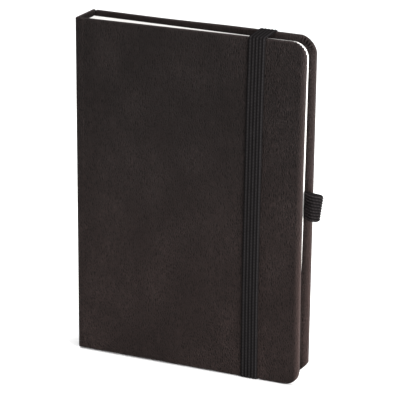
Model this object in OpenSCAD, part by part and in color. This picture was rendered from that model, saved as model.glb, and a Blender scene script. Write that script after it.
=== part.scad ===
// Case-bound pocket notebook, standing upright on its tail edge.
// +Z runs from tail to head, the front cover faces -Y and the spine is at -X.
// The closed book is a slight wedge: sewing folds make it thicker at the spine.

/* [Cover] */

// Width of a cover, spine face to fore edge
cover_w = 98; // [80:1:150]
// Height of a cover
cover_h = 142; // [110:1:220]
// Thickness of one finished cover, board and covering together
cover_t = 2.0; // [1.6:0.1:3]
// Radius of the rounded fore-edge corners of a cover
corner_r = 6.5; // [3:0.5:12]
// Thickness of the imitation leather covering
skin_t = 0.3; // [0.2:0.05:0.4]
// How far the covering is turned in over the inner side of a board
turn_in = 13; // [8:1:18]

/* [Thickness] */

// Closed thickness at the spine
spine_t = 15.2; // [12:0.1:24]
// Closed thickness at the fore edge
fore_t = 11.9; // [10:0.1:22]

/* [Pages] */

// How far the covers stand out past the pages at head and tail
square = 2.1; // [1:0.1:4]
// How far the covers stand out past the pages at the fore edge
fore_square = 2.8; // [1:0.1:5]
// How far the covers stand out past the pastedowns
paste_inset = 4.5; // [2:0.1:8]
// Thickness of one loose leaf
leaf_t = 0.1; // [0.08:0.01:0.16]
// Step from one loose leaf to the next
leaf_step = 0.12; // [0.1:0.01:0.2]
// Thickness of a pastedown sheet
paste_t = 0.15; // [0.1:0.01:0.3]

/* [Elastic closure] */

// Width of the closure band
band_w = 7; // [4:0.5:12]
// Thickness of the stretched band
band_t = 0.6; // [0.4:0.1:1.2]
// Distance of the band's middle from the spine face
band_at = 77.4; // [50:0.1:90]
// Distance of each band slot in the back cover from the nearest edge
slot_in = 10; // [6:1:16]

/* [Pen loop] */

// Height of the elastic pen loop
loop_h = 11.2; // [8:0.1:20]
// How far the loop reaches past the fore edge
loop_reach = 4.6; // [3:0.1:9]
// Height of the loop's middle above the tail of the covers
loop_at = 74; // [30:1:110]
// Thickness of the loop's elastic
loop_wall = 0.45; // [0.3:0.05:0.8]

/* [Hidden] */

$fn = 48;

// The whole object is centred over the origin and stands on z = 0.
x0 = -(cover_w + loop_reach) / 2;
z0 = band_t;
back_y = (spine_t - band_t) / 2;
front_y = back_y - spine_t;
fore_x = x0 + cover_w;
head_z = z0 + cover_h;

// The front cover lies at this angle to the back cover when closed.
wedge = asin((spine_t - fore_t) / cover_w);

// The case: a spine wall, then a board on each side of it.
spine_board_t = 0.7;
wall_t = skin_t + spine_board_t;
joint_gap = 0.05;
cover_x = x0 + wall_t + joint_gap;
board_t = cover_t - 2 * skin_t;
fit = 0.02;

// The text block, from its glued back to its fore edge.
lining_t = 0.14;
mull_t = 0.1;
block_x = x0 + wall_t + skin_t + lining_t + mull_t + 0.08;
paste_x = block_x + 0.05;
block_fore_x = fore_x - fore_square;
block_low_z = z0 + square;
block_high_z = head_z - square;
page_r = corner_r - 1;

// Loose leaves lie against the front cover, counted from the front.
leaves = 8;
cover_clear = 0.3;
first_leaf_y = cover_t + paste_t + cover_clear;
stack_y = first_leaf_y + (leaves + 1) * leaf_step + 0.03;
leaf_pivot = 3.0;
leaf_start = leaf_pivot + 1.0;

// Closed sections fill the wedge between the loose leaves and the back cover.
closed_sections = 9;
flyleaf_y = back_y - cover_t - paste_t - 0.05 - leaf_t;
section_back_y = flyleaf_y - 0.02;
section_gap = 0.012;

// The band and the loop, placed from the case.
band_low_x = x0 + band_at - band_w / 2;
band_lift = 0.03;
slot_h = 1.6;
tail_slot_z = z0 + slot_in;
head_slot_z = head_z - slot_in;
loop_low_z = z0 + loop_at - loop_h / 2;
loop_r = 1.4;
loop_in_x = fore_x + 0.3 + loop_r;
loop_out_x = fore_x + loop_reach - loop_r;
loop_y = back_y - cover_t - loop_r - 0.1;
tab_t = 0.18;
tab_w = 10;

// The sewing thread crosses the folds in shallow kerfs.
stations = 6;
thread_r = 0.16;
kerf_depth = 0.42;
kerf_h = 0.6;

leatherette = [0.17, 0.15, 0.145];
elastic = [0.12, 0.12, 0.125];
paper = [0.95, 0.93, 0.89];
greyboard = [0.55, 0.52, 0.48];
cloth = [0.88, 0.86, 0.8];

// ---- Helpers ----

// A sheet standing in XZ, its drawing given in x and z, from y to y + t.
module sheet(y, t) {
  translate([0, y + t, 0]) rotate([90, 0, 0]) linear_extrude(t) children();
}

// An outline square at the spine and rounded at both fore-edge corners.
module outline(low_x, high_x, low_z, high_z, r) {
  translate([low_x, low_z]) square([high_x - low_x - r, high_z - low_z]);
  translate([low_x, low_z + r]) square([high_x - low_x, high_z - low_z - 2 * r]);
  translate([high_x - r, low_z + r]) circle(r);
  translate([high_x - r, high_z - r]) circle(r);
}

// The outline of a cover, drawn in by the given amount on its three free sides.
module cover_outline(inset) {
  outline(cover_x, fore_x - inset, z0 + inset, head_z - inset, max(corner_r - inset, 1));
}

// The outline of a page, starting at the given distance from the spine face.
module page_outline(start) {
  outline(x0 + start, block_fore_x, block_low_z, block_high_z, page_r);
}

// Moves a front part, modelled from y = 0 at its outer face, to the closed cover.
module on_front() {
  translate([x0, front_y, 0]) rotate([0, 0, wedge]) translate([-x0, 0, 0]) children();
}

// Moves a back part, modelled from y = 0 at its outer face, to the back cover.
module on_back() {
  translate([0, back_y, 0]) mirror([0, 1, 0]) children();
}

// ---- One cover, from its outer face at y = 0 inward to y = cover_t ----

module cover_skin() {
  difference() {
    sheet(0, cover_t) cover_outline(0);
    sheet(skin_t, board_t) cover_cut(skin_t);
    sheet(cover_t - skin_t - 0.01, skin_t + 1) cover_cut(turn_in);
  }
}

// The cover outline carried past the spine side, for cutting.
module cover_cut(inset) {
  outline(cover_x - 1, fore_x - inset, z0 + inset, head_z - inset, max(corner_r - inset, 1));
}

module cover_board() {
  sheet(skin_t + fit, board_t - 2 * fit) cover_outline(skin_t + fit);
}

// A sheet over the turn-ins, with a step that sinks between them to the board.
module pastedown() {
  sheet(cover_t, paste_t)
    outline(paste_x, fore_x - paste_inset, z0 + paste_inset, head_z - paste_inset, corner_r - 3);
  sheet(cover_t - skin_t + 0.14, skin_t)
    outline(paste_x, fore_x - turn_in - fit, z0 + turn_in + fit, head_z - turn_in - fit, 1);
}

// The gauze flange glued to a board beside the spine.
module mull_flange() {
  sheet(cover_t - skin_t + fit, mull_t)
    translate([cover_x, z0 + turn_in + 2]) square([13, cover_h - 2 * turn_in - 4]);
}

// ---- The case ----

module back_cover_skin() {
  color(leatherette) difference() {
    on_back() cover_skin();
    band_slot(tail_slot_z);
    band_slot(head_slot_z);
  }
}

module back_board() {
  color(greyboard) difference() {
    on_back() cover_board();
    band_slot(tail_slot_z);
    band_slot(head_slot_z);
  }
}

// The slot that lets one end of the band through the back cover.
module band_slot(z) {
  translate([band_low_x - 0.2, back_y - cover_t - 0.5, z - slot_h / 2])
    cube([band_w + 0.4, cover_t + 1, slot_h]);
}

module back_pastedown() {
  color(paper) difference() {
    on_back() pastedown();
    band_flap_room(tail_slot_z, -1);
    band_flap_room(head_slot_z, 1);
    translate([fore_x - tab_w - 1.2, back_y - cover_t - 0.5, loop_low_z - 0.2])
      cube([tab_w, 1, loop_h + 0.4]);
  }
}

// Room under the pastedown for the band's glued flap.
module band_flap_room(z, side) {
  low = side > 0 ? z - 9 : z - slot_h / 2 - 0.1;
  translate([band_low_x - 0.3, back_y - cover_t - 1, low])
    cube([band_w + 0.6, 2, 9 + slot_h / 2 + 0.1]);
}

module back_flyleaf() {
  color(paper) sheet(flyleaf_y, leaf_t) page_outline(leaf_pivot);
}

module spine_skin() {
  color(leatherette) difference() {
    translate([x0, front_y, z0]) cube([wall_t + skin_t, spine_t, cover_h]);
    translate([x0 + skin_t, front_y + skin_t, z0 + skin_t])
      cube([spine_board_t, spine_t - 2 * skin_t, cover_h - 2 * skin_t]);
    translate([x0 + wall_t - 0.01, front_y - 1, z0 + 12])
      cube([1, spine_t + 2, cover_h - 24]);
    translate([x0 + wall_t, front_y - 1, z0 - 1])
      cube([1, cover_t + 1.3, cover_h + 2]);
    translate([x0 + wall_t, back_y - cover_t - 0.3, z0 - 1])
      cube([1, cover_t + 1.3, cover_h + 2]);
  }
}

module spine_board() {
  color(greyboard)
    translate([x0 + skin_t + fit, front_y + skin_t + fit, z0 + skin_t + fit])
      cube([
        spine_board_t - 2 * fit,
        spine_t - 2 * skin_t - 2 * fit,
        cover_h - 2 * skin_t - 2 * fit
      ]);
}

// ---- The back of the text block ----

// Height of the block's back between the covers.
back_low_y = front_y + stack_y - 0.95;
back_span = section_back_y - back_low_y;

module spine_lining() {
  color(paper)
    translate([block_x - mull_t - lining_t - 0.04, back_low_y, block_low_z + 4])
      cube([lining_t, back_span, block_high_z - block_low_z - 8]);
}

module mull() {
  color(cloth) {
    translate([block_x - mull_t - 0.02, back_low_y, z0 + turn_in + 2])
      cube([mull_t, back_y - cover_t + 0.1 - back_low_y, cover_h - 2 * turn_in - 4]);
    translate([block_x - mull_t - 0.02, back_y - cover_t + skin_t - fit - mull_t, z0 + turn_in + 2])
      cube([13, mull_t, cover_h - 2 * turn_in - 4]);
    translate([block_x - mull_t - 0.02, back_y - cover_t, z0 + turn_in + 2])
      cube([mull_t, skin_t - fit, cover_h - 2 * turn_in - 4]);
  }
}

// Boundary of the closed sections: step 0 is the back, the last is the front.
function boundary_y(x, step) =
  let (top = front_y + (stack_y + (x - x0) * sin(wedge)) / cos(wedge))
  section_back_y - step * (section_back_y - top) / closed_sections;

// One folded section: a wedge with a rounded fold and rounded fore corners.
module section(place) {
  step = 10 - place;
  fold_r = (boundary_y(block_x, step) - boundary_y(block_x, step + 1)) / 2 - section_gap;
  start_x = block_x + fold_r;
  start_back = boundary_y(start_x, step) - section_gap;
  start_front = boundary_y(start_x, step + 1) + section_gap;
  end_back = boundary_y(block_fore_x, step) - section_gap;
  end_front = boundary_y(block_fore_x, step + 1) + section_gap;
  color(paper) difference() {
    union() {
      intersection() {
        translate([0, 0, block_low_z]) linear_extrude(block_high_z - block_low_z)
          polygon([
            [start_x, start_back], [block_fore_x + 1, end_back],
            [block_fore_x + 1, end_front], [start_x, start_front]
          ]);
        sheet(front_y, spine_t) page_outline(block_x - x0 - 1);
      }
      translate([start_x, (start_back + start_front) / 2, block_low_z])
        cylinder(h = block_high_z - block_low_z, r = fold_r - 0.03);
    }
    kerfs();
  }
}

// Height of one sewing station.
function station_z(i) = block_low_z + 12 + i * (block_high_z - block_low_z - 24) / (stations - 1);

// The cuts across the folds that hold the thread.
module kerfs() {
  for (i = [0 : stations - 1])
    translate([block_x - 2, front_y, station_z(i) - kerf_h / 2])
      cube([2 + kerf_depth, spine_t, kerf_h]);
}

module section_02() { section(2); }
module section_03() { section(3); }
module section_04() { section(4); }
module section_05() { section(5); }
module section_06() { section(6); }
module section_07() { section(7); }
module section_08() { section(8); }
module section_09() { section(9); }
module section_10() { section(10); }

// The sewn fold that the loose leaves grow from. It stops short of their swing.
module section_01_fold() {
  depth = leaves * leaf_step;
  middle_x = block_x + 0.12 + depth / 2;
  color(paper) on_front()
    translate([0, first_leaf_y + leaf_step, block_low_z])
      linear_extrude(block_high_z - block_low_z) {
        translate([middle_x, 0]) square([x0 + leaf_start - 0.3 - middle_x, depth]);
        translate([middle_x, depth / 2]) circle(depth / 2);
      }
}

// Link stitches, lying in the kerfs from the first closed section to the last.
module sewing_thread() {
  first_y = boundary_y(block_x, closed_sections) + 0.4;
  last_y = section_back_y - 0.4;
  color(cloth) for (i = [0 : stations - 1])
    translate([block_x + 0.2, first_y, station_z(i)]) rotate([-90, 0, 0])
      cylinder(h = last_y - first_y, r = thread_r, $fn = 16);
}

// ---- Front cover and loose leaves ----

module front_cover_skin() {
  color(leatherette) on_front() cover_skin();
}

module front_board() {
  color(greyboard) on_front() cover_board();
}

module front_pastedown() {
  color(paper) on_front() pastedown();
}

module front_mull() {
  color(cloth) on_front() mull_flange();
}

// A loose leaf, counted back from the flyleaf at place 0.
module leaf(place) {
  color(paper) on_front()
    sheet(first_leaf_y + place * leaf_step, leaf_t) page_outline(leaf_start);
}

module front_flyleaf() { leaf(0); }
module leaf_1() { leaf(1); }
module leaf_2() { leaf(2); }
module leaf_3() { leaf(3); }
module leaf_4() { leaf(4); }
module leaf_5() { leaf(5); }
module leaf_6() { leaf(6); }
module leaf_7() { leaf(7); }
module leaf_8() { leaf(8); }

// ---- Elastic closure ----

// One end of the band: down the back face, through the slot and glued inside.
module band_anchor(z, side) {
  low = side > 0 ? z - band_t / 2 : z0 + 0.05;
  high = side > 0 ? head_z - 0.05 : z + band_t / 2;
  flap_low = side > 0 ? z - 8 : z - band_t / 2;
  color(elastic) {
    translate([band_low_x, back_y + band_lift, low]) cube([band_w, band_t - band_lift, high - low]);
    translate([band_low_x, back_y - cover_t - 0.1, z - band_t / 2])
      cube([band_w, cover_t + band_t + 0.1, band_t]);
    translate([band_low_x, back_y - cover_t - 0.12, flap_low])
      cube([band_w, 0.1, 8 + band_t / 2]);
  }
}

module band_anchor_head() { band_anchor(head_slot_z, 1); }
module band_anchor_tail() { band_anchor(tail_slot_z, -1); }

// The part that comes away: a strip down the front cover.
module band_front_strip() {
  color(elastic) on_front()
    translate([band_low_x, -band_t - band_lift, 0]) cube([band_w, band_t, head_z + band_t]);
}

// The band where it crosses an edge of the covers, front strip to back strip.
module band_turn(z) {
  strip_y = front_y + (band_at + band_w / 2) * sin(wedge) + 0.02;
  color(elastic) translate([band_low_x, strip_y, z])
    cube([band_w, back_y + band_t - strip_y, band_t - band_lift]);
}

module band_head_turn() { band_turn(head_z + band_lift); }
module band_tail_turn() { band_turn(0); }

// ---- Pen loop ----

// The glued tab and the short run of elastic that carries the loop.
module pen_loop_strap() {
  inner_y = back_y - cover_t;
  color(elastic) {
    translate([fore_x - tab_w - 1, inner_y - tab_t, loop_low_z]) cube([tab_w, tab_t, loop_h]);
    translate([fore_x - 1.4, inner_y - 0.5, loop_low_z]) cube([1.85, 0.48, loop_h]);
    translate([fore_x + 0.05, inner_y - 0.5, loop_low_z]) cube([0.4, 0.9, loop_h]);
    translate([fore_x + 0.05, inner_y - 0.05, loop_low_z]) cube([0.95, 0.45, loop_h]);
  }
}

// The flattened loop that a pen slides into.
module pen_loop() {
  color(elastic) translate([0, 0, loop_low_z]) difference() {
    linear_extrude(loop_h) flat_ring(loop_r);
    translate([0, 0, -1]) linear_extrude(loop_h + 2) flat_ring(loop_r - loop_wall);
  }
}

// A stadium outline with ends of the given radius.
module flat_ring(r) {
  translate([loop_in_x, loop_y]) circle(r);
  translate([loop_out_x, loop_y]) circle(r);
  translate([loop_in_x, loop_y - r]) square([loop_out_x - loop_in_x, 2 * r]);
}

back_cover_skin();
back_board();
back_pastedown();
back_flyleaf();
spine_skin();
spine_board();
spine_lining();
mull();
section_02();
section_03();
section_04();
section_05();
section_06();
section_07();
section_08();
section_09();
section_10();
section_01_fold();
sewing_thread();
band_anchor_head();
band_anchor_tail();
pen_loop_strap();
front_cover_skin();
front_board();
front_pastedown();
front_mull();
front_flyleaf();
leaf_1();
leaf_2();
leaf_3();
leaf_4();
leaf_5();
leaf_6();
leaf_7();
leaf_8();
band_front_strip();
band_head_turn();
band_tail_turn();
pen_loop();
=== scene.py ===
"""A case-bound pocket notebook standing on its tail edge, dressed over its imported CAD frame."""

import math
import random

import bmesh
import bpy
from mathutils import Matrix, Vector, noise


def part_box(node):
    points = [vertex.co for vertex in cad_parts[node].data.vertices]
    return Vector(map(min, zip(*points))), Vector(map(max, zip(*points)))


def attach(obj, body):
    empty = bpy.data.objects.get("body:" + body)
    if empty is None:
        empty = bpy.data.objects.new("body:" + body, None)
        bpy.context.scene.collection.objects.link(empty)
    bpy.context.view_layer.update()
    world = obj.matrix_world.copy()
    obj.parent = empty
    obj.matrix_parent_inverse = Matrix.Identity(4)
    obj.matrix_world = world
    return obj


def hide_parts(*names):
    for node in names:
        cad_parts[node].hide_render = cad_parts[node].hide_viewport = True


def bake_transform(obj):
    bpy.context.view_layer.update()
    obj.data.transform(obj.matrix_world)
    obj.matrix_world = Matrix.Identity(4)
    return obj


MM = 0.001

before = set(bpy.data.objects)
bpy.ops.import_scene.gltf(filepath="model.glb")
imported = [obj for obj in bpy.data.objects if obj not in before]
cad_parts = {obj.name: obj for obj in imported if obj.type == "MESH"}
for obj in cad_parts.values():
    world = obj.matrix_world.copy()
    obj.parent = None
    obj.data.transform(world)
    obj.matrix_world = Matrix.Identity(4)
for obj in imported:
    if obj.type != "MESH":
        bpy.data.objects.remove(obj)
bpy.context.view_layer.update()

# ---- Places, read from the frame ----

spine_low, spine_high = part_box("spine_skin")
back_low, back_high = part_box("back_cover_skin")
front_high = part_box("front_cover_skin")[1]
section_low, section_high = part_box("section_10")
band_low, band_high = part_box("band_front_strip")
loop_low, loop_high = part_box("pen_loop")
pastedown_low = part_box("front_pastedown")[0]

SPINE_X = spine_low[0]
FORE_X = back_high[0]
TAIL_Z, HEAD_Z = back_low[2], back_high[2]
FRONT_Y, BACK_Y = spine_low[1], spine_high[1]
COVER_X = back_low[0]
COVER_T = back_high[1] - back_low[1]
COVER_W = FORE_X - SPINE_X
WEDGE = math.asin((front_high[1] - FRONT_Y - COVER_T) / COVER_W)

BLOCK_X = section_low[0] - 0.03 * MM
PAGE_FORE_X = section_high[0]
PAGE_LOW_Z, PAGE_HIGH_Z = section_low[2], section_high[2]
BLOCK_BACK_Y = section_high[1]

CORNER_R = 6.5 * MM
PAGE_R = 6.3 * MM
PASTE_T = 0.15 * MM
LEAF_T = 0.1 * MM
LEAF_STEP = 0.12 * MM
FIRST_LEAF = COVER_T + PASTE_T + 0.3 * MM
LOOSE_LEAVES = 8
STACK = FIRST_LEAF + (LOOSE_LEAVES + 1) * LEAF_STEP + 0.03 * MM
CLOSED_SECTIONS = 9

INNER_BACK_Y = BACK_Y - COVER_T

BAND_W = band_high[0] - band_low[0]
BAND_X = (band_low[0] + band_high[0]) / 2
BAND_T = 0.56 * MM
BAND_TAIL_X = BAND_X - 0.66 * MM
BAND_RIBS = 5
LOOP_T = 0.5 * MM
LOOP_RIBS = 9


def warp(x, z):
    """How far the front cover leans in. The band pinches it at head and tail, and it bows out between."""
    t = (z - TAIL_Z) / (HEAD_Z - TAIL_Z)
    reach = min(max((x - SPINE_X) / COVER_W, 0.0), 1.1) ** 1.6
    return (1.0 - 6.3 * t + 5.9 * t * t) * MM * reach


def trim(x, z):
    """How far the front board is out of square: lower at the spine's head and at the fore edge's tail,
    where the band keeps a notch of it pressed in."""
    t = (z - TAIL_Z) / (HEAD_Z - TAIL_Z)
    share = min(max((x - SPINE_X) / COVER_W, 0.0), 1.0)
    free = ease((abs(x - BAND_TAIL_X) - 0.55 * BAND_W) / (2 * MM))
    return (-0.3 * t * (1 - share) ** 2 - 0.52 * (1 - t) * share**2 * free) * MM


def front_place(u, z, depth):
    """A point of the front cover in u along it, z up it and depth into it."""
    return (*on_front(u, depth, z), z + trim(u, z))


def on_front(x, depth, z=None):
    """A point of the front cover, depth measured inward from its outer face. With no z the cover is flat."""
    if z is not None:
        depth += warp(x, z)
    c, s = math.cos(WEDGE), math.sin(WEDGE)
    dx = x - SPINE_X
    return SPINE_X + dx * c - depth * s, FRONT_Y + dx * s + depth * c


def on_back(x, depth):
    """A point of the back cover, depth measured inward from its outer face."""
    return x, BACK_Y - depth


# ---- Mesh helpers ----


def build(name, points, faces, material, merge=0.0):
    """A shaded mesh object from points and faces, with its normals turned outward."""
    mesh = bpy.data.meshes.new(name)
    mesh.from_pydata(points, [], faces)
    shape = bmesh.new()
    shape.from_mesh(mesh)
    if merge:
        bmesh.ops.remove_doubles(shape, verts=shape.verts, dist=merge)
    bmesh.ops.recalc_face_normals(shape, faces=shape.faces)
    shape.to_mesh(mesh)
    shape.free()
    mesh.polygons.foreach_set("use_smooth", [True] * len(mesh.polygons))
    piece = bpy.data.objects.new(name, mesh)
    bpy.context.scene.collection.objects.link(piece)
    mesh.materials.append(material)
    return piece


def ease(t):
    """A smooth step from 0 to 1."""
    t = min(1.0, max(0.0, t))
    return t * t * (3 - 2 * t)


def span(low, high, count):
    """count + 1 even values from low to high."""
    return [low + (high - low) * i / count for i in range(count + 1)]


def ruffle(u, z, size, seed=0.0):
    """Gentle noise between -1 and 1 over features of the given size."""
    return noise.noise(Vector((u / size, z / size, seed)))


# ---- A covered board: a closed slab with soft edges ----


class Slab:
    """An outline in u and z with its own corner radii, and how finely it is cut."""

    def __init__(self, u, z, near_r, far_r, cuts, arc_near=4, arc_far=64):
        self.u, self.z = u, z
        self.near_r, self.far_r = near_r, far_r
        self.nu, self.nz = cuts
        self.arc_near, self.arc_far = arc_near, arc_far

    def ring(self, inset):
        """Points (u, z, turn) round the outline moved in by inset. turn is 0 to 1 at far corners, or None."""
        (u0, u1), (z0, z1) = self.u, self.z
        near, far = max(inset, self.near_r), max(inset, self.far_r)
        near_arc, far_arc = max(self.near_r - inset, 0), max(self.far_r - inset, 0)
        points = [(u, z0 + inset, None) for u in span(u0 + near, u1 - far, self.nu)[:-1]]
        points += self.arc(u1 - far, z0 + far, far_arc, -90, self.arc_far)
        points += [(u1 - inset, z, None) for z in span(z0 + far, z1 - far, self.nz)[:-1]]
        points += self.arc(u1 - far, z1 - far, far_arc, 0, self.arc_far)
        points += [(u, z1 - inset, None) for u in span(u1 - far, u0 + near, self.nu)[:-1]]
        points += self.arc(u0 + near, z1 - near, near_arc, 90, self.arc_near)
        points += [(u0 + inset, z, None) for z in span(z1 - near, z0 + near, self.nz)[:-1]]
        points += self.arc(u0 + near, z0 + near, near_arc, 180, self.arc_near)
        return points

    def arc(self, u, z, radius, start, count):
        out = []
        for i in range(count):
            a = math.radians(start + 90 * i / count)
            turn = i / count if count == self.arc_far else None
            out.append((u + radius * math.cos(a), z + radius * math.sin(a), turn))
        return out

    def face(self, inset):
        """The grid of points inside the ring at that inset, which must pass both radii."""
        us = span(self.u[0] + inset, self.u[1] - inset, self.nu)
        zs = span(self.z[0] + inset, self.z[1] - inset, self.nz)
        points = [(u, z, None) for z in zs for u in us]
        row = self.nu + 1
        faces = [
            (j * row + i, j * row + i + 1, (j + 1) * row + i + 1, (j + 1) * row + i)
            for j in range(self.nz)
            for i in range(self.nu)
        ]
        return points, faces


def slab_piece(name, slab, profile, place, shape, material):
    """A closed slab. profile lists (inset, depth) from the outer face to the inner one, place maps
    (u, z, depth) to a point, and shape returns the small moves (u, z, depth) of a point of the covering."""
    points, faces = [], []

    def add(ring, inset, depth):
        start = len(points)
        for u, z, turn in ring:
            du, dz, dd = shape(u, z, turn, inset, depth)
            points.append(place(u + du, z + dz, depth + dd))
        return start

    starts = [(add(slab.ring(inset), inset, depth)) for inset, depth in profile]
    count = len(slab.ring(profile[0][0]))
    for a, b in zip(starts, starts[1:]):
        for i in range(count):
            j = (i + 1) % count
            faces.append((a + i, a + j, b + j, b + i))
    for inset, depth in (profile[0], profile[-1]):
        grid, quads = slab.face(inset)
        start = add(grid, inset, depth)
        faces += [tuple(start + i for i in quad) for quad in quads]
    return build(name, points, faces, material, merge=0.002 * MM)


def soft_edge(thickness, outer_r, inner_r, face_inset, steps=6):
    """The (inset, depth) profile of a slab whose edges are rounded over."""
    profile = [(face_inset, 0.0)]
    profile += [(outer_r + (face_inset - outer_r) * t * t, 0.0) for t in (0.72, 0.42, 0.2)]
    for i in range(steps + 1):
        a = math.radians(90 * i / steps)
        profile.append((outer_r * (1 - math.sin(a)), outer_r * (1 - math.cos(a))))
    profile.append((0.0, thickness * 0.55))
    for i in range(steps + 1):
        a = math.radians(90 * i / steps)
        profile.append((inner_r * (1 - math.cos(a)), thickness - inner_r * (1 - math.sin(a))))
    return profile


# ---- Materials ----


class Nodes:
    """A short way to wire a material's nodes."""

    def __init__(self, name):
        self.material = bpy.data.materials.new(name)
        self.material.use_nodes = True
        self.tree = self.material.node_tree
        self.shader = self.tree.nodes["Principled BSDF"]
        places = self.tree.nodes.new("ShaderNodeTexCoord")
        self.where, self.strip = places.outputs["Object"], places.outputs["UV"]
        self.turns = self.tree.nodes.new("ShaderNodeNewGeometry").outputs["Pointiness"]

    def node(self, kind, **values):
        made = self.tree.nodes.new("ShaderNode" + kind)
        for key, value in values.items():
            if hasattr(made, key):
                setattr(made, key, value)
            else:
                self.put(made, key.replace("_", " ").title(), value)
        return made

    def put(self, made, socket, value):
        target = made.inputs[socket]
        if isinstance(value, bpy.types.NodeSocket):
            self.tree.links.new(value, target)
        else:
            target.default_value = value

    def scaled(self, scale, source=None):
        made = self.node("Mapping")
        self.put(made, "Vector", source or self.where)
        self.put(made, "Scale", scale)
        return made.outputs["Vector"]

    def noise(self, vector, scale=1.0, detail=2.0, roughness=0.5):
        made = self.node("TexNoise")
        settings = {"Vector": vector, "Scale": scale, "Detail": detail, "Roughness": roughness}
        for key, value in settings.items():
            self.put(made, key, value)
        return made.outputs["Fac"]

    def colour_noise(self, vector):
        made = self.node("TexNoise")
        for key, value in (("Vector", vector), ("Scale", 1.0), ("Detail", 2.0)):
            self.put(made, key, value)
        return made.outputs["Color"]

    def ramp(self, factor, low, high, colour_low=(0, 0, 0, 1), colour_high=(1, 1, 1, 1)):
        made = self.node("ValToRGB")
        first, last = made.color_ramp.elements
        first.position = low
        first.color = colour_low
        last.position = high
        last.color = colour_high
        self.put(made, "Fac", factor)
        return made.outputs["Color"]

    def math(self, operation, a, b=0.0):
        made = self.tree.nodes.new("ShaderNodeMath")
        made.operation = operation
        self.put(made, 0, a)
        self.put(made, 1, b)
        return made.outputs[0]

    def fade(self, value, low, high):
        made = self.node("MapRange", interpolation_type="SMOOTHSTEP")
        for key, given in (("Value", value), ("From Min", low), ("From Max", high)):
            self.put(made, key, given)
        return made.outputs["Result"]

    def bump(self, height, distance, strength=1.0, normal=None):
        made = self.node("Bump")
        self.put(made, "Height", height)
        self.put(made, "Distance", distance)
        self.put(made, "Strength", strength)
        if normal is not None:
            self.put(made, "Normal", normal)
        return made.outputs["Normal"]

    def finish(self, colour, roughness, normal=None, **constants):
        self.put(self.shader, "Base Color", colour)
        self.put(self.shader, "Roughness", roughness)
        if normal is not None:
            self.put(self.shader, "Normal", normal)
        for key, value in constants.items():
            self.put(self.shader, key.replace("_", " "), value)
        return self.material


def leather(name, dark, light):
    """Imitation leather: upright hair cells between fine ridges, over a gentle sway. Its colour carries some
    wear and painted light: highlights on rounded edges and hair cells, shade in pleats and creases, and a
    floor reflection toward the tail.
    """
    n = Nodes(name)
    warped = n.node("MixRGB", blend_type="ADD")
    n.put(warped, "Fac", 0.5)
    n.put(warped, "Color1", n.scaled((1500, 1500, 640)))
    n.put(warped, "Color2", n.colour_noise(n.scaled((700, 700, 420))))
    cells = n.node("TexVoronoi", feature="DISTANCE_TO_EDGE")
    n.put(cells, "Vector", warped.outputs["Color"])
    n.put(cells, "Scale", 1.0)
    ridge = n.ramp(cells.outputs["Distance"], 0.02, 0.26, (1, 1, 1, 1), (0, 0, 0, 1))
    fine = n.noise(n.scaled((2600, 2600, 1500)), 1.0, 3.0, 0.65)
    broad = n.noise(n.scaled((55, 55, 38)), 1.0, 3.0, 0.55)
    sway = n.noise(n.scaled((150, 150, 80)), 1.0, 2.0)
    folds = n.noise(n.scaled((300, 300, 230)), 1.0, 4.0, 0.6)
    creases = n.math("MULTIPLY", n.math("ABSOLUTE", n.math("SUBTRACT", folds, 0.5)), 4.0)
    patchy = n.ramp(broad, 0.34, 0.66, (0.65, 0.65, 0.65, 1), (1, 1, 1, 1))
    height = n.math("ADD", n.math("MULTIPLY", ridge, patchy), n.math("MULTIPLY", fine, 0.9))
    normal = n.bump(sway, 0.0008, 0.15)
    normal = n.bump(creases, 0.0003, 0.35, normal)
    normal = n.bump(height, 0.00022, 0.9, normal)
    tone = n.math("ADD", n.math("MULTIPLY", height, 0.33), n.math("MULTIPLY", broad, 0.08))
    tone = n.math("ADD", tone, n.math("MULTIPLY", n.math("SUBTRACT", creases, 0.3), 0.16))
    # Pointiness paints the colour: lighter on rounded edges as a painted highlight, darker in pleats and
    # creases as painted shade.
    tone = n.math("ADD", tone, n.math("MULTIPLY", n.math("SUBTRACT", n.turns, 0.5), 1.6))
    # Painted glints where the hair cells catch the light.
    tone = n.math("ADD", tone, hair_cell_glints(n, broad))
    # Edges made lighter, partly as wear and partly as a painted highlight.
    tone = n.math("ADD", tone, worn_and_lit_edges(n))
    colour = n.ramp(tone, 0.11, 0.95, (*dark, 1), (*light, 1))
    # The colour is multiplied by a painted floor reflection, paler toward the tail.
    floor_reflection_tint = n.node("MixRGB", blend_type="MULTIPLY")
    n.put(floor_reflection_tint, "Fac", 1.0)
    n.put(floor_reflection_tint, "Color1", colour)
    n.put(floor_reflection_tint, "Color2", toward_tail(n, broad))
    colour = floor_reflection_tint.outputs["Color"]
    roughness = n.math("ADD", n.math("MULTIPLY", height, -0.12), 0.68)
    return n.finish(colour, roughness, normal, Specular_IOR_Level=0.06)


def toward_tail(n, broad):
    """A tint that turns the covering a little paler toward the tail, as a painted reflection of the floor,
    and a little warmer there, with an uneven border.
    """
    split = n.node("SeparateXYZ")
    n.put(split, "Vector", n.where)
    height = n.math("ADD", split.outputs["Z"], n.math("MULTIPLY", n.math("SUBTRACT", broad, 0.5), 0.06))
    share = n.fade(height, TAIL_Z + 20 * MM, HEAD_Z - 20 * MM)
    return n.ramp(share, 0.0, 1.0, (1.34, 1.30, 1.28, 1), (0.88, 0.94, 0.95, 1))


def hair_cell_glints(n, broad):
    """Short upright strokes where the hair cells catch the light, in patches, most of all beyond the band."""
    strokes = n.fade(n.noise(n.scaled((2300, 2300, 760)), 1.0, 2.0, 0.5), 0.52, 0.68)
    split = n.node("SeparateXYZ")
    n.put(split, "Vector", n.where)
    beyond = n.fade(split.outputs["X"], BAND_X - 30 * MM, FORE_X)
    upper = n.fade(split.outputs["Z"], TAIL_Z + 30 * MM, HEAD_Z - 30 * MM)
    patch = n.math("ADD", n.fade(broad, 0.5, 0.66), n.math("MULTIPLY", beyond, upper))
    return n.math("MULTIPLY", n.math("MULTIPLY", strokes, patch), 0.34)


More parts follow.
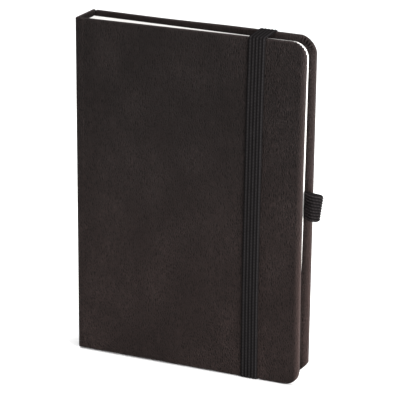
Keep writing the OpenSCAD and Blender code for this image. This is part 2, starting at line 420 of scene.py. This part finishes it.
def worn_and_lit_edges(n):
    """How much lighter the covering is made: most on a cover's rounded fore edge, less at its head, none on
    its face. This is partly wear and partly a painted highlight. The back cover's inner side near the head is
    also made a little lighter.
    """
    split = n.node("SeparateXYZ")
    n.put(split, "Vector", n.where)
    # Fore edge and head: lighter partly as wear and partly as a painted highlight.
    fore = n.fade(split.outputs["X"], FORE_X - 2.6 * MM, FORE_X - 0.1 * MM)
    head = n.fade(split.outputs["Z"], HEAD_Z - 0.55 * MM, HEAD_Z)
    inside = n.math("GREATER_THAN", split.outputs["Y"], INNER_BACK_Y - 0.3 * MM)
    turned = n.math("MULTIPLY", n.fade(split.outputs["Z"], HEAD_Z - 2.6 * MM, HEAD_Z - 0.8 * MM), inside)
    worn = n.math("MAXIMUM", n.math("MULTIPLY", fore, 0.9), n.math("MULTIPLY", head, 0.5))
    return n.math("MAXIMUM", worn, n.math("MULTIPLY", turned, 0.22))


def elastic(name, width, ribs, phase, sharp, light):
    """Ribbed elastic: dark yarn, with lighter stitches along the crest of each rib. The crests are also
    painted lighter and the grooves darker, as highlight and shade, and one edge rib carries a painted
    highlight.
    """
    n = Nodes(name)
    split = n.node("SeparateXYZ")
    n.put(split, "Vector", n.strip)
    count = n.math("DIVIDE", n.math("ADD", split.outputs["X"], width * (0.5 + phase / ribs)), width / ribs)
    # The rib crests are painted lighter and the grooves darker: painted highlight and shade.
    crest = n.math("POWER", n.math("MULTIPLY", n.math("PINGPONG", count, 0.5), 2.0), sharp)
    step = n.math("MULTIPLY", split.outputs["Y"], 2 * math.pi / (1.25 * MM))
    step = n.math("ADD", step, n.math("MULTIPLY", n.math("FLOOR", count), 2.4))
    stitch = n.math("ADD", n.math("MULTIPLY", n.math("SINE", step), 0.5), 0.5)
    fuzz = n.noise(n.scaled((5200, 5200, 5200)), 1.0, 3.0, 0.65)
    worn = n.noise(n.scaled((420, 420, 420)), 1.0, 3.0)
    # The edge rib is painted lighter: a painted highlight.
    edge_highlight = n.math("GREATER_THAN", split.outputs["X"], width * (0.5 - 1 / ribs))
    knit_and_rib_light = n.math("MULTIPLY", crest, n.math("ADD", n.math("MULTIPLY", stitch, 0.75), 0.25))
    knit_and_rib_light = n.math("ADD", knit_and_rib_light, n.math("MULTIPLY", edge_highlight, n.math("MULTIPLY", crest, 0.4)))
    normal = n.bump(knit_and_rib_light, 0.00009, 0.8)
    normal = n.bump(fuzz, 0.00005, 0.6, normal)
    bloom = n.math("MULTIPLY", n.math("MULTIPLY", fuzz, worn), 0.5)
    tone = n.math("ADD", n.math("MULTIPLY", knit_and_rib_light, 0.75), bloom)
    colour = n.ramp(tone, 0.1, 0.9, (0.0058, 0.0053, 0.0054, 1), (*light, 1))
    return n.finish(colour, 0.7, normal, Specular_IOR_Level=0.0)


def paper(name, tint, ruled=False):
    """Uncoated paper with faint fibres, ruled with pale lines on the writing pages."""
    n = Nodes(name)
    fibres = n.noise(n.scaled((1800, 1800, 900)), 1.0, 4.0, 0.6)
    cloud = n.noise(n.scaled((90, 90, 90)), 1.0, 3.0)
    shade = n.math("ADD", n.math("MULTIPLY", fibres, 0.6), n.math("MULTIPLY", cloud, 0.4))
    low = tuple(0.93 * c for c in tint)
    colour = n.ramp(shade, 0.3, 0.7, (*low, 1), (*tint, 1))
    if ruled:
        colour = ruled_lines(n, colour)
    return n.finish(colour, 0.82, n.bump(fibres, 0.00002, 0.35), Specular_IOR_Level=0.25)


def ruled_lines(n, colour):
    """Thin grey lines 6.5 mm apart, between a head and a tail margin and short of the edges."""
    split = n.node("SeparateXYZ")
    n.put(split, "Vector", n.where)
    height = split.outputs["Z"]
    step = n.math("FRACT", n.math("DIVIDE", n.math("SUBTRACT", height, PAGE_LOW_Z + 9 * MM), 6.5 * MM))
    line = n.math("LESS_THAN", step, 0.035)
    line = n.math("MULTIPLY", line, n.math("GREATER_THAN", height, PAGE_LOW_Z + 8 * MM))
    line = n.math("MULTIPLY", line, n.math("LESS_THAN", height, PAGE_HIGH_Z - 14 * MM))
    mix = n.node("MixRGB", blend_type="MIX")
    n.put(mix, "Fac", n.math("MULTIPLY", line, 0.45))
    n.put(mix, "Color1", colour)
    n.put(mix, "Color2", (0.32, 0.34, 0.38, 1))
    return mix.outputs["Color"]


def board(name):
    """Grey board: pressed pulp with darker flecks."""
    n = Nodes(name)
    flecks = n.noise(n.scaled((2600, 2600, 2600)), 1.0, 4.0, 0.7)
    colour = n.ramp(flecks, 0.35, 0.65, (0.22, 0.19, 0.16, 1), (0.36, 0.32, 0.27, 1))
    return n.finish(colour, 0.9, n.bump(flecks, 0.00004, 0.5))


def gauze(name):
    """Open cotton weave, stiff with glue."""
    n = Nodes(name)
    upright = n.node("TexWave", wave_type="BANDS", bands_direction="Z")
    n.put(upright, "Vector", n.scaled((1, 1, 900)))
    n.put(upright, "Scale", 1.0)
    weft = n.node("TexWave", wave_type="BANDS", bands_direction="X")
    n.put(weft, "Vector", n.scaled((900, 900, 1)))
    n.put(weft, "Scale", 1.0)
    weave = n.math("MULTIPLY", upright.outputs["Fac"], weft.outputs["Fac"])
    colour = n.ramp(weave, 0.1, 0.8, (0.5, 0.47, 0.4, 1), (0.72, 0.69, 0.61, 1))
    return n.finish(colour, 0.88, n.bump(weave, 0.00008, 0.6))


LEATHER = leather("leatherette", (0.0033, 0.0023, 0.0021), (0.0258, 0.0177, 0.0165))
BAND_ELASTIC = elastic("band_elastic", BAND_W, BAND_RIBS, 0.0, 1.3, (0.0188, 0.0173, 0.0178))
LOOP_W = loop_high[2] - loop_low[2]
LOOP_ELASTIC = elastic("loop_elastic", LOOP_W, LOOP_RIBS, 0.0, 1.5, (0.031, 0.0265, 0.0275))
PAGES = paper("writing_paper", (0.76, 0.745, 0.71), ruled=True)
PAGE_EDGES = paper("page_edges", (0.68, 0.665, 0.65))
ENDPAPER = paper("endpaper", (0.76, 0.745, 0.715))
BOARD = board("grey_board")
GAUZE = gauze("gauze")

# ---- Covers ----

PASTE_INSET = FORE_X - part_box("back_pastedown")[1][0]
FACE_INSET = CORNER_R + 0.4 * MM


def covering(seed, blunt, pleats=7):
    """Small moves of a cover's leather: a face that isn't quite flat, and pleats round the far corners.
    The corners can be blunted, each by its own amount: head first, then tail."""

    def shape(u, z, turn, inset, depth):
        face = ease((COVER_T * 0.5 - depth) / (COVER_T * 0.5))
        lift = 0.05 * MM * ruffle(u, z, 28 * MM, seed) + 0.018 * MM * ruffle(u, z, 7 * MM, seed + 3)
        lift *= face * ease(inset / (1.2 * MM))
        outward = 1 if z > (TAIL_Z + HEAD_Z) / 2 else -1
        wander = 0.02 * MM * ruffle(u, z, 16 * MM, seed + 7) * ease(1 - inset / (2.0 * MM)) * outward
        if turn is None:
            return 0.0, wander, -lift
        cell = (pleats * (turn + 0.03 * math.sin(7 * turn + seed))) % 1.0
        fold = math.sin(math.pi * turn) ** 0.6 * max(0.0, 1 - abs(cell - 0.5) / 0.27)
        fold *= ease(1 - inset / (3.5 * MM))
        pull = 0.6 * MM * fold * ease((depth - COVER_T * 0.5) / (COVER_T * 0.5))
        pull += blunt[outward < 0] * math.sin(math.pi * turn) * ease(1 - inset / CORNER_R)
        corner_z = HEAD_Z - CORNER_R if outward > 0 else TAIL_Z + CORNER_R
        angle = math.atan2(z - corner_z, u - (FORE_X - CORNER_R))
        lift += 0.8 * MM * fold * ease(inset / (0.5 * MM)) * ease((depth - COVER_T * 0.6) / (COVER_T * 0.3))
        return -pull * math.cos(angle), wander - pull * math.sin(angle), -lift

    return shape


def cover_profile():
    """Outer face, soft edge, turn-in, and the step down under the pastedown."""
    profile = soft_edge(COVER_T, 0.62 * MM, 0.45 * MM, FACE_INSET)
    profile += [(1.0 * MM, COVER_T), (2.2 * MM, COVER_T), (PASTE_INSET + 0.5 * MM, COVER_T)]
    profile += [(PASTE_INSET + 1.2 * MM, COVER_T - 0.1 * MM), (FACE_INSET, COVER_T - 0.1 * MM)]
    return profile


def cover_piece(name, place, seed, blunt, low_x):
    """The leather of a cover, with its turn-ins."""
    slab = Slab((low_x, FORE_X), (TAIL_Z, HEAD_Z), 0.5 * MM, CORNER_R, (64, 96))
    return slab_piece(name, slab, cover_profile(), place, covering(seed, blunt), LEATHER)


front_skin = cover_piece("front_cover_leather", front_place, 1.7, (0.0, 0.0), COVER_X)
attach(front_skin, "front_cover")
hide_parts("front_cover_skin")


def inner_slab(name, place, inset, depths, far_r, low_x, material):
    """A flat layer inside a cover that follows its lean."""
    slab = Slab((low_x, FORE_X - inset), (TAIL_Z + inset, HEAD_Z - inset), 0.1 * MM, far_r, (40, 60), 4, 16)
    centre = far_r + 0.3 * MM
    profile = [(centre, depths[0]), (0.0, depths[0]), (0.0, depths[1]), (centre, depths[1])]
    return slab_piece(name, slab, profile, place, lambda *at: (0.0, 0.0, 0.0), material)


pastedown = inner_slab(
    "front_pastedown_sheet",
    front_place,
    PASTE_INSET,
    (COVER_T - 0.06 * MM, COVER_T + PASTE_T),
    CORNER_R - 3 * MM,
    pastedown_low[0],
    ENDPAPER,
)
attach(pastedown, "front_cover")
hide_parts("front_pastedown")

CORE_DEPTHS = (0.45 * MM, COVER_T - 0.9 * MM)
CORE_INSET = 1.9 * MM
front_core = inner_slab(
    "front_board_core", front_place, CORE_INSET, CORE_DEPTHS, CORNER_R, COVER_X + 0.8 * MM, BOARD
)
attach(front_core, "front_cover")
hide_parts("front_board")


def back_trim(x, z):
    """How far the back board is out of square: its head edge rises toward the fore edge."""
    t = (z - TAIL_Z) / (HEAD_Z - TAIL_Z)
    share = min(max((x - SPINE_X) / COVER_W, 0.0), 1.0)
    return 0.45 * MM * t * ease((share - 0.3) / 0.4)


def back_place(u, z, depth):
    """A point of the back cover in u along it, z up it and depth into it."""
    return (*on_back(u, depth), z + back_trim(u, z))


back_core = inner_slab(
    "back_board_core", back_place, CORE_INSET, CORE_DEPTHS, CORNER_R, COVER_X + 1.2 * MM, BOARD
)
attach(back_core, "book")
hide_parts("back_board")

back_skin = cover_piece("back_cover_leather", back_place, 5.3, (0.5 * MM, 1.4 * MM), COVER_X + 0.7 * MM)
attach(back_skin, "book")
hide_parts("back_cover_skin")

# ---- Spine ----

SPINE_T = 1.25 * MM


def spine_shape(u, z, turn, inset, depth):
    """The spine's outer face isn't quite flat."""
    return 0.0, 0.0, -0.03 * MM * ruffle(u, z, 12 * MM, 9.1) * ease(inset / MM) * ease(1 - depth / SPINE_T)


spine_slab = Slab((FRONT_Y, BACK_Y), (TAIL_Z, HEAD_Z), 0.5 * MM, 0.5 * MM, (16, 96), 4, 4)
spine_piece = slab_piece(
    "spine_leather",
    spine_slab,
    soft_edge(SPINE_T, 0.45 * MM, 0.3 * MM, 0.9 * MM, 4),
    lambda u, z, d: (SPINE_X + d, u, z),
    spine_shape,
    LEATHER,
)
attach(spine_piece, "book")
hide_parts("spine_skin")


def joint_piece(name, route, short, thickness=0.25 * MM):
    """A strip of the covering round a spine corner, stopping short of head and tail. route lists
    (x, y, out_x, out_y): a point and its outward side."""
    points, faces = [], []
    zs = span(TAIL_Z + short, HEAD_Z - short, 60)
    for z in zs:
        for x, y, ox, oy in route:
            points.append((x, y, z))
        for x, y, ox, oy in reversed(route):
            points.append((x - ox * thickness, y - oy * thickness, z))
    row = 2 * len(route)
    for j in range(len(zs) - 1):
        for i in range(row):
            k = (i + 1) % row
            faces.append((j * row + i, j * row + k, (j + 1) * row + k, (j + 1) * row + i))
    faces.append(tuple(range(row)))
    faces.append(tuple((len(zs) - 1) * row + i for i in range(row)))
    return build(name, points, faces, LEATHER)


def corner_route(turn_y, side, place):
    """From the spine face, round the corner and onto a cover. side is 1 at the front and -1 at the back."""
    r = 0.55 * MM
    on_spine = ((2.6 * MM, 0.05 * MM), (1.8 * MM, -0.015 * MM))
    route = [(SPINE_X + lift, turn_y + side * y, -1.0, 0.0) for y, lift in on_spine]
    for i in range(7):
        a = math.radians(90 * i / 6)
        ox, oy = -math.cos(a), -side * math.sin(a)
        route.append((SPINE_X + r + ox * (r + 0.015 * MM), turn_y + side * r + oy * (r + 0.015 * MM), ox, oy))
    for x, lift in ((1.6 * MM, -0.015 * MM), (3.0 * MM, -0.01 * MM), (4.2 * MM, 0.06 * MM)):
        px, py = place(SPINE_X + x, lift)
        route.append((px, py, 0.0, -float(side)))
    return route


front_joint = joint_piece("front_joint_leather", corner_route(FRONT_Y, 1, on_front), 0.35 * MM)
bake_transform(front_joint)
back_joint = joint_piece("back_joint_leather", corner_route(BACK_Y, -1, on_back), 2.0 * MM)
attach(back_joint, "book")

# ---- Leaves and sections ----


def fore_skew(z):
    """The block sits a touch askew in its case, further in at the tail."""
    drop = 1 - (z - PAGE_LOW_Z) / (PAGE_HIGH_Z - PAGE_LOW_Z)
    return (0.02 - 0.75 * drop - 0.9 * drop**3) * MM


def head_skew(x):
    """The head edge isn't trimmed quite straight: it dips and then rises toward the fore edge."""
    share = (x - BLOCK_X) / (PAGE_FORE_X - BLOCK_X)
    return (-0.05 - 0.15 * share + 0.24 * share**4) * MM


def press(x, y, z):
    """How far the cover's lean pushes the pages at a point, all of it at the front and none at the back."""
    front = FRONT_Y + STACK + (x - SPINE_X) * math.tan(WEDGE)
    return max(warp(x, z), 0.0) * max(0.0, (BLOCK_BACK_Y - y) / (BLOCK_BACK_Y - front))


def leaf_stations(start, fore):
    """Distances along a leaf: a few on its flat part and more round its corners."""
    r = PAGE_R
    flat = span(start, fore - r, 7)
    return flat + [fore - r + r * math.sin(math.radians(90 * i / 9)) for i in range(1, 10)]


def leaf_edge(x, fore, cut):
    """How far the head and tail edges come in at x, for the rounded corners."""
    inside = max(0.0, x - (fore - PAGE_R))
    return cut + PAGE_R - math.sqrt(max(PAGE_R**2 - inside**2, 0.0))


def paper_sheet(name, mid_line, thickness, fore, cut, material, rows=10):
    """A closed sheet of paper. mid_line lists (x, y, nx, ny) along it in plan, from one edge to the other."""
    points, faces = [], []
    columns = len(mid_line)
    for side in (0.5, -0.5):
        for f in span(0.0, 1.0, rows):
            for x, y, nx, ny in mid_line:
                edge = min(leaf_edge(x, fore, cut), (PAGE_HIGH_Z - PAGE_LOW_Z) * 0.45)
                z = PAGE_LOW_Z + edge + f * (PAGE_HIGH_Z - PAGE_LOW_Z - 2 * edge)
                reach = ease((x - BLOCK_X) / (fore - BLOCK_X))
                shift = fore_skew(z) * reach
                lift = head_skew(x) * ease((z - PAGE_LOW_Z) / (PAGE_HIGH_Z - PAGE_LOW_Z))
                push = press(x, y, z)
                points.append((x + shift + nx * thickness * side, y + push + ny * thickness * side, z + lift))
    back = (rows + 1) * columns
    for j in range(rows):
        for i in range(columns - 1):
            a = j * columns + i
            d = a + columns
            faces.append((a, a + 1, d + 1, d))
            faces.append((back + d, back + d + 1, back + a + 1, back + a))
    rim = [i for i in range(columns)]
    rim += [j * columns + columns - 1 for j in range(1, rows + 1)]
    rim += [rows * columns + i for i in range(columns - 2, -1, -1)]
    rim += [j * columns for j in range(rows - 1, 0, -1)]
    for a, b in zip(rim, rim[1:] + rim[:1]):
        faces.append((a, b, back + b, back + a))
    return build(name, points, faces, material)


def block_line(x, share):
    """The y of a line through the block: share 0 at the back flyleaf, 1 at the loose leaves."""
    front = FRONT_Y + STACK + (x - SPINE_X) * math.tan(WEDGE)
    return BLOCK_BACK_Y + (front - BLOCK_BACK_Y) * share


def folded_sheet(section, ring, rng):
    """The mid-line of one folded sheet of a section: ring 0 is the outermost of its four."""
    lines = [(section + (half + 0.5) / 8) / CLOSED_SECTIONS for half in (ring, 7 - ring)]
    fore = PAGE_FORE_X - rng.uniform(0.0, 0.07) * MM
    fold_x = BLOCK_X + 0.5 * MM
    back, front = [block_line(fold_x, share) for share in lines]
    radius, middle = (back - front) / 2, (back + front) / 2
    stations = leaf_stations(fold_x, fore)
    line = [(x, block_line(x, lines[0]), 0.0, 1.0) for x in reversed(stations)]
    for i in range(1, 6):
        a = math.radians(180 * i / 6)
        line.append((fold_x - radius * math.sin(a), middle + radius * math.cos(a), -math.sin(a), math.cos(a)))
    line += [(x, block_line(x, lines[1]), 0.0, -1.0) for x in stations]
    return line, fore


def section_piece(number):
    """One sewn section: four folded sheets, each a hair different from the next."""
    section = 10 - number
    rng = random.Random(100 + number)
    sheets = []
    for ring in range(4):
        line, fore = folded_sheet(section, ring, rng)
        cut = rng.uniform(0.0, 0.05) * MM
        sheets.append(paper_sheet("sheet", line, 0.082 * MM, fore, cut, PAGE_EDGES))
    return join(f"section_{number:02d}_sheets", sheets)


def join(name, pieces):
    """One object from several, by their meshes."""
    whole = bmesh.new()
    for piece in pieces:
        whole.from_mesh(piece.data)
    material = pieces[0].data.materials[0]
    mesh = bpy.data.meshes.new(name)
    whole.to_mesh(mesh)
    whole.free()
    mesh.materials.append(material)
    for piece in pieces:
        bpy.data.objects.remove(piece)
    made = bpy.data.objects.new(name, mesh)
    bpy.context.scene.collection.objects.link(made)
    return made


for number in range(2, 11):
    piece = section_piece(number)
    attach(piece, "book")
    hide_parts(f"section_{number:02d}")

back_leaf_low, back_leaf_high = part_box("back_flyleaf")
back_leaf_y = (back_leaf_low[1] + back_leaf_high[1]) / 2
back_leaf_line = [(x, back_leaf_y, 0.0, 1.0) for x in leaf_stations(back_leaf_low[0], PAGE_FORE_X)]
back_leaf = paper_sheet("back_flyleaf_sheet", back_leaf_line, LEAF_T, PAGE_FORE_X, 0.02 * MM, ENDPAPER)
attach(back_leaf, "book")
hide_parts("back_flyleaf")

leaf_rng = random.Random(7)


def loose_leaf(name, place, material, replaced):
    """A leaf by the front cover. It curls out of the fold and lies along the front cover beyond it."""
    depth = FIRST_LEAF + place * LEAF_STEP + LEAF_T / 2
    fore = PAGE_FORE_X - leaf_rng.uniform(0.0, 0.07) * MM
    middle = FIRST_LEAF + LEAF_STEP + LOOSE_LEAVES * LEAF_STEP / 2
    stations = span(BLOCK_X + 0.55 * MM, BLOCK_X + 12 * MM, 14)[:-1] + leaf_stations(BLOCK_X + 12 * MM, fore)
    line = []
    if place:
        radius = depth - middle
        for i in range(5):
            a = math.radians(90 * i / 5)
            px, py = on_front(BLOCK_X + 0.55 * MM - abs(radius) * math.cos(a), middle + radius * math.sin(a))
            line.append((px, py, -math.cos(a), -math.sin(a) * (1 if radius < 0 else -1)))
    for x in stations:
        px, py = on_front(x, depth)
        line.append((px, py, 0.0, -1.0 if not place or depth < middle else 1.0))
    piece = paper_sheet(name, line, 0.09 * MM, fore, 0.02 * MM, material, rows=12)
    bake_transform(piece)
    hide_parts(*replaced)


loose_leaf("front_flyleaf_sheet", 0, ENDPAPER, ["front_flyleaf"])
for place in range(1, LOOSE_LEAVES + 1):
    nodes = [f"leaf_{place}"] + (["section_01_fold"] if place == 1 else [])
    loose_leaf(f"leaf_{place}_sheet", place, PAGES, nodes)

# ---- The endpaper where it crosses the front joint ----


def endpaper_joint():
    """The folded strip between the front pastedown and the flyleaf."""
    line = []
    for f in span(0.0, 1.0, 10):
        x = SPINE_X + (1.75 + 2.6 * f) * MM
        depth = COVER_T + PASTE_T * 0.5 + (FIRST_LEAF - COVER_T - PASTE_T * 0.5) * ease(f)
        px, py = on_front(x, depth)
        line.append((px, py, 0.0, -1.0))
    return paper_sheet("front_endpaper_joint", line, 0.1 * MM, PAGE_FORE_X, 0.3 * MM, ENDPAPER)


endpaper = endpaper_joint()
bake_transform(endpaper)

# ---- Elastic closure ----


def rib_profile(width, thickness, ribs, phase, per_rib=12, depth=0.3 * MM):
    """A ribbed strip cut across: (across, out) round its outline. The ribs stand on its outer side."""
    outer = []
    for i in range(ribs * per_rib + 1):
        t = i / (ribs * per_rib)
        rib = 0.5 - 0.5 * math.cos(2 * math.pi * (ribs * t + phase))
        outer.append((-width / 2 + width * t, thickness / 2 - depth * (1 - rib)))
    inner = [(width / 2 - width * i / 12, -thickness / 2) for i in range(13)]
    return outer + inner


def rounded_route(corners, step):
    """A route through corners (a, b, radius), with arcs at the turns and points at most step apart."""
    out = []
    for i, (a, b, r) in enumerate(corners):
        here = Vector((a, b))
        if i in (0, len(corners) - 1) or not r:
            out.append(here)
            continue
        before = (Vector(corners[i - 1][:2]) - here).normalized()
        after = (Vector(corners[i + 1][:2]) - here).normalized()
        for k in range(9):
            t = k / 8
            out.append(here + before * r * (1 - t) ** 2 + after * r * t**2)
    fine = [out[0]]
    for p in out[1:]:
        count = max(1, math.ceil((p - fine[-1]).length / step))
        start = fine[-1]
        fine += [start + (p - start) * (i + 1) / count for i in range(count)]
    return fine


def swept(name, route, section, place, material):
    """A closed strip: section carried along route. place maps (route point, across, share) to a point."""
    points, faces = [], []
    row = len(section)
    for i, p in enumerate(route):
        along = (route[min(i + 1, len(route) - 1)] - route[max(i - 1, 0)]).normalized()
        side = Vector((along.y, -along.x))
        for across, out in section:
            points.append(place(p + side * out, across, i / (len(route) - 1)))
    for j in range(len(route) - 1):
        for i in range(row):
            k = (i + 1) % row
            faces.append((j * row + i, j * row + k, (j + 1) * row + k, (j + 1) * row + i))
    faces.append(tuple(range(row)))
    faces.append(tuple((len(route) - 1) * row + i for i in range(row)))
    piece = build(name, points, faces, material)
    lay_strip(piece, route, section)
    return piece


def lay_strip(piece, route, section):
    """Flat coordinates for the weave: across the strip and along it, in metres."""
    along = [0.0]
    for a, b in zip(route, route[1:]):
        along.append(along[-1] + (b - a).length)
    layer = piece.data.uv_layers.new(name="strip")
    for corner in piece.data.loops:
        j, i = divmod(corner.vertex_index, len(section))
        layer.data[corner.index].uv = (section[i][0], along[j])


def band_route():
    """In (y, z): out of the head slot, over the head, down the front, under the tail and into its slot."""
    lift = BAND_T / 2 + 0.02 * MM
    back = BACK_Y + lift
    front = on_front(BAND_X, 0.0)[1] - lift
    slot_in = 10 * MM
    inside = BACK_Y - 1.2 * MM
    head, tail = HEAD_Z + lift, TAIL_Z - lift
    corners = [
        (inside, HEAD_Z - slot_in, 0),
        (back, HEAD_Z - slot_in, 0.8 * MM),
        (back, head, 0.9 * MM),
        (front, head, 0.9 * MM),
        (front, tail, 0.9 * MM),
        (back, tail, 0.9 * MM),
        (back, TAIL_Z + slot_in, 0.8 * MM),
        (inside, TAIL_Z + slot_in, 0),
    ]
    return rounded_route(corners, 1.6 * MM)


def band_point(p, across, share):
    """The band slants a little, lies on the leaning cover and rides up over the back cover's head edge."""
    y, z = p
    front = on_front(BAND_X, 0.0)[1]
    nearness = min(1.0, max(0.0, (BACK_Y - y) / (BACK_Y - front)))
    x = BAND_X + 0.12 * MM * ruffle(0.0, z, 40 * MM, 4.4) + across
    x += nearness * 0.55 * MM * (2 * (z - TAIL_Z) / (HEAD_Z - TAIL_Z) - 1.2)
    tilt = math.tan(WEDGE) * across * nearness
    rise = back_trim(BAND_X, z) * (1 - nearness)
    return (x, y + tilt + warp(x, min(max(z, TAIL_Z), HEAD_Z)) * nearness, z + rise)


band_outline = rib_profile(BAND_W, BAND_T, BAND_RIBS, 0.0, depth=0.17 * MM)
band = swept("elastic_band_ribbed", band_route(), band_outline, band_point, BAND_ELASTIC)
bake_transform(band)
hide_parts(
    "band_front_strip", "band_head_turn", "band_tail_turn", "band_anchor_head", "band_anchor_tail"
)

# ---- Pen loop ----


def loop_route():
    """In (x, y): up through the back cover's inner side, out in a bow, round the end and back under it. The
    strap dives into the cover before it reaches the pages."""
    corners = [
        (FORE_X - 4.4 * MM, INNER_BACK_Y + 0.45 * MM, 0),
        (FORE_X - 3.2 * MM, INNER_BACK_Y + 0.40 * MM, 0.3 * MM),
        (FORE_X - 2.6 * MM, INNER_BACK_Y - 0.75 * MM, 0.5 * MM),
        (FORE_X + 0.9 * MM, INNER_BACK_Y - 2.95 * MM, 1.5 * MM),
        (FORE_X + 4.75 * MM, INNER_BACK_Y - 1.75 * MM, 0.8 * MM),
        (FORE_X + 4.45 * MM, INNER_BACK_Y - 0.55 * MM, 0.5 * MM),
        (FORE_X + 1.0 * MM, INNER_BACK_Y - 0.35 * MM, 1.0 * MM),
        (FORE_X - 2.3 * MM, INNER_BACK_Y - 0.28 * MM, 0.3 * MM),
        (FORE_X - 2.9 * MM, INNER_BACK_Y + 0.40 * MM, 0.3 * MM),
        (FORE_X - 4.4 * MM, INNER_BACK_Y + 0.45 * MM, 0),
    ]
    return rounded_route(corners, 0.35 * MM)


def loop_point(p, across, share):
    """The loop droops a little from where it is glued, and its outer end is rounded."""
    x, y = p
    middle = (loop_low[2] + loop_high[2]) / 2
    reach = x - (FORE_X - 1.5 * MM)
    slant = math.tan(math.radians(6.5))
    droop = math.tan(math.radians(3.5))
    tip = 1 - 0.10 * ease((x - FORE_X - 3.4 * MM) / (1.4 * MM))
    return (x + across * slant * ease(reach / (4 * MM)), y, middle + across * tip - reach * droop)


loop = swept(
    "pen_loop_ribbed",
    [Vector(p) for p in loop_route()],
    rib_profile(LOOP_W, LOOP_T, LOOP_RIBS, 0.0),
    loop_point,
    LOOP_ELASTIC,
)
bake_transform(loop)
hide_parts("pen_loop", "pen_loop_strap")

# ---- CAD parts that stay, with their own materials ----

STAYING = {
    "spine_board": BOARD,
    "back_pastedown": ENDPAPER,
    "spine_lining": ENDPAPER,
    "mull": GAUZE,
    "front_mull": GAUZE,
    "sewing_thread": GAUZE,
}
for node, material in STAYING.items():
    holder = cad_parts[node]
    for place in holder.material_slots:
        place.material = material

# ---- Floor, light and camera ----


def stage_floor():
    """A plain pale floor."""
    n = Nodes("pale_floor")
    material = n.finish((0.9, 0.9, 0.9, 1), 0.9, None, Specular_IOR_Level=0.0)
    half = 6.0
    points = [(-half, -half, 0), (half, -half, 0), (half, half, 0), (-half, half, 0)]
    floor = build("floor", points, [(0, 1, 2, 3)], material)


def studio_light():
    """A pale studio with a large soft light overhead and a tall one at the right."""
    world = bpy.data.worlds.new("studio")
    bpy.context.scene.world = world
    world.use_nodes = True
    sky = world.node_tree.nodes["Background"]
    sky.inputs["Color"].default_value = (1, 1, 1, 1)
    sky.inputs["Strength"].default_value = 0.55
    area_light("overhead", (0.0, 0.15, 1.5), (0, 0.05, 0), (1.8, 1.4), 30.0)
    area_light("right_side", (0.92, -0.30, 0.22), (0, 0, 0.06), (0.5, 0.45), 25.0)


def area_light(name, place, aim, size, power):
    """A soft rectangular light, size being its width and height."""
    data = bpy.data.lights.new(name, "AREA")
    data.shape = "RECTANGLE"
    data.size, data.size_y = size
    data.energy = power
    lamp = bpy.data.objects.new(name, data)
    lamp.location = place
    lamp.rotation_euler = (Vector(aim) - Vector(place)).to_track_quat("-Z", "Y").to_euler()
    bpy.context.scene.collection.objects.link(lamp)


def photo_camera():
    """A long lens from the front right, a little above."""
    azimuth = math.radians(25.2)
    elevation = math.radians(19.2)
    roll = math.radians(0.53)
    distance = 0.851
    aim = Vector((SPINE_X + 51.68 * MM, BACK_Y - 7.0 * MM, TAIL_Z + 70.6 * MM))
    back = Vector(
        (
            math.sin(azimuth) * math.cos(elevation),
            -math.cos(azimuth) * math.cos(elevation),
            math.sin(elevation),
        )
    )
    data = bpy.data.cameras.new("photo_camera")
    data.lens = 190.7
    data.sensor_width = 36
    data.clip_start = 0.01
    data.clip_end = 60
    camera = bpy.data.objects.new("photo_camera", data)
    camera.location = aim + back * distance
    turn = (-back).to_track_quat("-Z", "Y").to_matrix()
    camera.rotation_euler = (turn @ Matrix.Rotation(roll, 3, "Z")).to_euler()
    bpy.context.scene.collection.objects.link(camera)
    bpy.context.scene.camera = camera


stage_floor()
studio_light()
photo_camera()
bpy.context.scene.view_settings.view_transform = "Standard"
